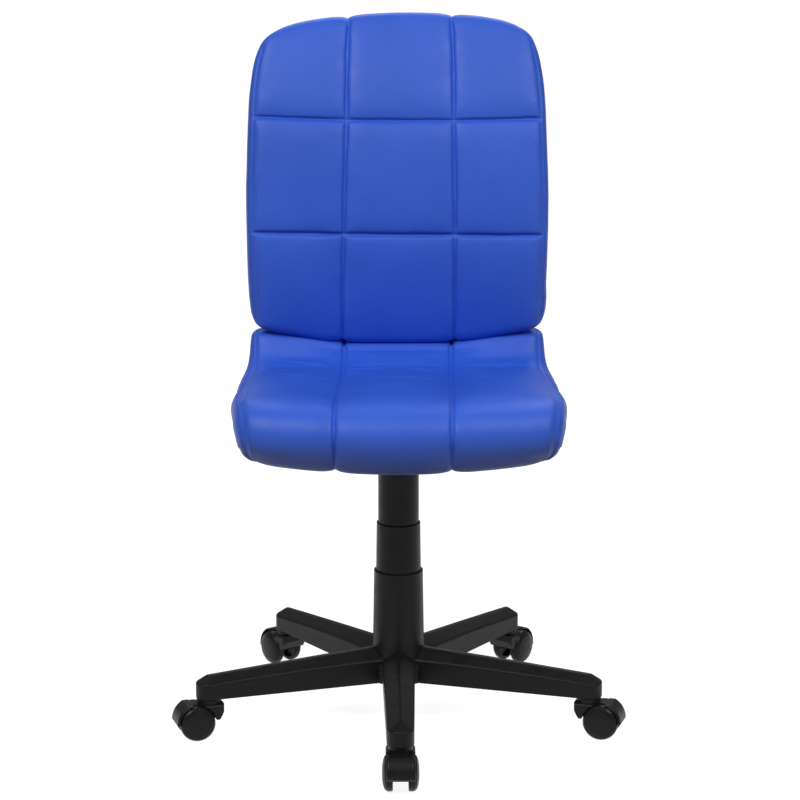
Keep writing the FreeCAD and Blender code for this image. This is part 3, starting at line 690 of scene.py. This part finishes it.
def back_grid(inset_side, inset_end):
    """Flat grid of (x, z) inside the back's outline, with lines on the seams, and its inset."""
    right = BACK_HALF_OUTLINE
    left = [(-x, z) for x, z in right[-2:0:-1]]
    around = [uneven(x, z) for x, z in right + left]
    outline = Loop(around)
    total = len(around)
    marks = {"tr": outline.mark(TOP_CORNER), "br": outline.mark(FOOT_CORNER),
             "bl": outline.mark(total - FOOT_CORNER),
             "tl": outline.mark(total - TOP_CORNER) - outline.length}

    def inset(distance):
        distance = distance % outline.length
        here = outline.at(distance)
        ahead = outline.at((distance + 1) % outline.length)
        tangent = unit(ahead - outline.at((distance - 1) % outline.length))
        normal = np.stack([-tangent[:, 1], tangent[:, 0]], axis=-1)
        depth = inset_side + (inset_end - inset_side) * normal[:, 1] ** 4
        return here - normal * depth[:, None], depth

    def edge(start, stop, wanted, axis):
        """Points of one edge whose coordinate on the given axis is as wanted."""
        dense = np.linspace(start, stop, 1200)
        points, _ = inset(dense)
        order = np.argsort(points[:, axis])
        at = np.interp(wanted, points[order, axis], dense[order])
        return inset(at)

    corners = {k: inset(np.array([m]))[0][0] for k, m in marks.items()}
    columns, rows = np.cumsum([0, *PANEL_CELLS]), np.cumsum([0, *BACK_ROW_CELLS])

    def heights(side, foot, top):
        """Heights of all rows at one side."""
        seams = [pair[side] for pair in BACK_SEAM_Z]
        return graded([corners[foot][1], *seams, corners[top][1]], BACK_ROW_CELLS)

    port, starboard = heights(0, "bl", "tl"), heights(1, "br", "tr")
    left_line, left_depth = edge(marks["bl"], marks["tl"] + outline.length, port, 1)
    right_line, right_depth = edge(marks["tr"], marks["br"], starboard, 1)
    lines = []
    for k, j in enumerate(rows):
        ends = [left_line[j][0], BACK_SEAM_X[0][k], BACK_SEAM_X[1][k], right_line[j][0]]
        x = graded(ends, PANEL_CELLS)
        share = (x - x[0]) / (x[-1] - x[0])
        sag = BACK_SAG[k] * (1 - (2 * share - 1) ** 2)
        z = left_line[j][1] + (right_line[j][1] - left_line[j][1]) * share - sag
        lines.append(np.stack([x, z], axis=-1))
    lines[0], foot_depth = edge(marks["br"], marks["bl"], lines[0][:, 0], 0)
    lines[3], top_depth = edge(marks["tl"], marks["tr"], lines[3][:, 0], 0)
    grid = np.zeros((columns[-1] + 1, rows[-1] + 1, 2))
    for k in range(3):
        part = slice(rows[k], rows[k + 1] + 1)
        u = (lines[k][:, 0] - lines[k][0, 0]) / (lines[k][-1, 0] - lines[k][0, 0])
        v = (port[part] - port[rows[k]]) / (port[rows[k + 1]] - port[rows[k]])
        grid[:, part] = coons(lines[k], lines[k + 1], left_line[part], right_line[part], u, v)
    depth = np.zeros(grid.shape[:2])
    depth[0], depth[-1], depth[:, 0], depth[:, -1] = left_depth, right_depth, foot_depth, top_depth
    return grid, depth, columns, rows


def seam_distance(grid, columns, rows):
    """Distance of every grid point from the nearest seam column and seam row."""
    far, tall = np.full((2, *grid.shape[:2]), 1e3)
    for i in columns:
        far = np.minimum(far, np.abs(grid[:, :, 0] - grid[i:i + 1, :, 0]))
    for j in rows:
        tall = np.minimum(tall, np.abs(grid[:, :, 1] - grid[:, j:j + 1, 1]))
    return far, tall


def make_back_cover():
    grid, depth, columns, rows = back_grid(*FRONT_INSET)
    x, z = grid[:, :, 0], grid[:, :, 1]
    seams_u, seams_v = columns[1:-1], rows[1:-1]
    far, tall = seam_distance(grid, columns, seams_v)
    share = rounded_share(far, PUFF_REACH) * rounded_share(tall, PUFF_REACH)
    front = on_back(x, z, BACK_SEAM_DEPTH - BACK_PUFF * share)
    rear = on_back(x, z, np.full(x.shape, BACK_COVER_REAR))
    near = rounded_share(seam_distance(grid, seams_u, ())[0], SCALLOP_REACH)
    bulge = depth.copy()
    for end in (0, -1):
        bulge[:, end] -= END_SCALLOP * (1 - near[:, end])
    pillow = Pillow("back_cover", front, rear, bulge)
    gathers = ((1.1, 30.0, 14.0), (0.5, 9.0, 6.0))
    upholster(pillow, pillow.line(seams_u, seams_v), "back_thread", gathers)
    finish_soft(pillow, "back_cushion")


def make_back_rear():
    grid, depth, _, _ = back_grid(*REAR_INSET)
    x, z = grid[:, :, 0], grid[:, :, 1]
    level = (z - PANEL_MIDDLE) / PANEL_HALF_HEIGHT
    crown = PANEL_CROWN * (1 - (x / PANEL_HALF) ** 4) * (1 - level ** 4)
    front = on_back(x, z, np.full(x.shape, PANEL_FACE))
    rear = on_back(x, z, PANEL_REAR + np.maximum(crown, 0))
    bulge = np.where(depth > 0, PANEL_RIM, 0.0)
    pillow = Pillow("back_rear_cover", front, rear, bulge, 2.0, 7)
    pillow.build()
    subdivide(pillow)
    finish_soft(pillow, "back_rear_panel")


# --- seat --------------------------------------------------------------------------------
# Section of the seat as (y, z), and the loop points where the top panel starts and ends.
SEAT_LOOP = [(-247, 464), (-243, 479), (-232, 493), (-212, 502), (-185, 505), (-140, 501),
             (-95, 496), (-45, 491), (5, 487), (55, 483), (100, 482), (132, 484), (152, 491),
             (165, 502), (176, 515), (190, 518), (205, 512), (214, 496), (215, 475), (209, 455),
             (192, 446), (160, 441), (100, 434), (30, 428), (-60, 424), (-140, 419),
             (-175, 412), (-203, 409), (-221, 415), (-234, 430), (-243, 447)]
FRONT_EDGE, REAR_EDGE = 27, 15
SEAT_ROWS = 116
SEAT_HALF = 226.0
SEAT_SEAM_X, SEAM_SKEW = (-79.5, 76.5), 0.024       # at y = 90, and their slant to one side
SEAT_PUFF, SEAT_SEAM_DROP = 6.0, 5.5
SEAT_FRONT_BULGE, SEAT_REAR_BULGE = 2.0, 9.0
# Half widths along the top panel, by distance from its front edge under the seat: of the side
# seam, of the widest line of the side strip, and how much less that of the underside is.
SEAM_HALF = [(0, 190), (18, 198), (36, 202), (54, 203), (75, 205), (110, 207), (150, 211),
             (210, 214), (340, 214), (400, 213), (440, 210), (480, 206), (540, 206)]
WIDEST_HALF = [(0, 192), (18, 203), (36, 211), (54, 215), (75, 218), (110, 223), (150, 226),
               (210, 230), (340, 231), (400, 230), (440, 228), (480, 223), (510, 217), (540, 215)]
UNDER_LESS = [(0, 4), (40, 10), (75, 14), (200, 16), (430, 12), (490, 4), (540, 0)]
# Share of the way along the section where rows stand closer, over what share, and how much.
BEND_AT, BEND_SPREAD, BEND_EXTRA = 0.80, 0.13, 1.3
# The dust cover's area under the seat, its height, and the width of the slope around it.
COVER_HALF, COVER_FRONT, COVER_REAR, COVER_Z, COVER_SLOPE = 193, -151, 137, 440.5, 8


def foot_ramp(x):
    """0 in the middle, where the back hangs lower, and 1 towards the sides."""
    return ease(ramp(np.abs(x), 70, 75))


def seat_bend(x, y, z):
    """Bows the front edge, lifts its lower corners and dips the rear edge under the back."""
    share = np.abs(x) / SEAT_HALF
    bow = 28 * share ** 2 * np.maximum(0.0, -y / 245)
    lift = 15 * share ** 2 * ramp(z, 452, -30) * ramp(y, -60, -80)
    upturn = ramp(y, 150, 20) * ramp(z, 485, 20)
    lift = lift + (12 * share ** 2 - 8 * (1 - foot_ramp(x))) * upturn
    return np.stack([x, y + bow, z + lift], axis=-1)


def seat_lines():
    """Upper and lower points (y, z) of the section from front to rear, closer together across
    the bend in front of the upturn, and the distances of the upper ones."""
    loop = Loop(SEAT_LOOP)
    start = loop.mark(FRONT_EDGE) - loop.length
    stop = loop.mark(REAR_EDGE)
    even = np.linspace(0, 1, 400)
    density = np.cumsum(1 + BEND_EXTRA * np.exp(-((even - BEND_AT) / BEND_SPREAD) ** 4))
    fractions = np.interp(np.linspace(density[0], density[-1], SEAT_ROWS + 1), density, even)
    distance = (stop - start) * fractions
    upper = loop.at((start + distance) % loop.length)
    low_start, low_stop = loop.mark(FRONT_EDGE - 1), loop.mark(REAR_EDGE + 2)
    lower = loop.at(low_start + (low_stop - low_start) * fractions)
    return upper, lower, distance


def under_shape(points):
    """Raises the middle of the underside up to the dust cover on the seat board."""
    x, y, z = points[..., 0], points[..., 1], points[..., 2]
    inside = ramp(np.abs(x), COVER_HALF, -COVER_SLOPE) * ramp(y, COVER_FRONT, COVER_SLOPE)
    inside = inside * ramp(y, COVER_REAR, -COVER_SLOPE)
    raised = points.copy()
    raised[..., 2] = z + (COVER_Z - z) * ease(inside)
    return raised


def make_seat_cover():
    upper, lower, distance = seat_lines()
    normal = unit(np.gradient(upper, axis=0))
    normal = np.stack([-normal[:, 1], normal[:, 0]], axis=-1)
    columns = np.cumsum([0, *PANEL_CELLS])
    nu = columns[-1]
    front = np.zeros((nu + 1, SEAT_ROWS + 1, 3))
    rear = np.zeros_like(front)
    bulge = np.zeros(front.shape[:2])
    for j in range(SEAT_ROWS + 1):
        half = smooth(SEAM_HALF, distance[j])
        less = smooth(UNDER_LESS, distance[j])
        skew = SEAM_SKEW * (upper[j, 0] - 90)
        x = graded([-half, SEAT_SEAM_X[0] + skew, SEAT_SEAM_X[1] + skew, half], PANEL_CELLS)
        far = np.min([np.abs(x - x[i]) for i in columns], axis=0)
        puff = SEAT_PUFF * rounded_share(far, PUFF_REACH) - SEAT_SEAM_DROP
        front[:, j] = seat_bend(x, upper[j, 0] + normal[j, 0] * puff,
                                upper[j, 1] + normal[j, 1] * puff)
        under = np.broadcast_to(lower[j, None], (nu + 1, 2)).T
        rear[:, j] = seat_bend(x * (1 - less / half), *under)
        bulge[:, j] = smooth(WIDEST_HALF, distance[j]) - half + less / 2
    bulge[1:-1, 0], bulge[1:-1, -1] = SEAT_FRONT_BULGE, SEAT_REAR_BULGE
    pillow = Pillow("seat_cover", front, under_shape(rear), bulge, 2.15, 10)
    gathers = ((0.9, 40.0, 14.0), (0.5, 9.0, 6.0))
    upholster(pillow, pillow.line(columns[1:-1]), "seat_thread", gathers)
    crease_bend(pillow)
    finish_soft(pillow, "seat_cushion")


# Folds across the bend in front of the upturn, one in each panel of two rows: lines of (x, y)
# with a height.
FOLDS = [([(-180, 150), (-150, 146), (-115, 138), (-92, 132)], 0.9),
         ([(-68, 118), (-30, 113), (10, 110), (45, 104), (66, 100)], 1.1),
         ([(86, 98), (120, 112), (150, 132), (176, 150)], 0.9),
         ([(-186, 68), (-140, 55), (-112, 42), (-92, 36)], 0.8),
         ([(-70, 35), (-20, 30), (30, 29), (68, 27)], 1.0),
         ([(84, 42), (120, 38), (150, 28), (182, 18)], 0.8)]
WANDER, WANDER_LENGTH, FADE = 1.2, 17.0, 25


def crease_bend(pillow):
    """Thin folds that the vinyl makes where the seat turns up: a small ridge before a dip."""
    points, normals = pillow.read(), pillow.normals()
    lift = np.zeros(len(points))
    for line, height in FOLDS:
        path = smooth(line, points[:, 0]) + WANDER * np.sin(points[:, 0] / WANDER_LENGTH)
        ends = ramp(points[:, 0], line[0][0], FADE) * ramp(points[:, 0], line[-1][0], -FADE)
        away = points[:, 1] - path
        ridge = np.exp(-(away / 3.2) ** 2) - 0.8 * np.exp(-((away + 7.0) / 4.5) ** 2)
        lift += height * ridge * ends * (points[:, 2] > 470) * (normals[:, 2] > 0.2)
    pillow.write(points + normals * lift[:, None])


# --- everything --------------------------------------------------------------------------
make_camera()
make_studio()
dress_nodes()
make_back_cover()
make_back_rear()
make_seat_cover()
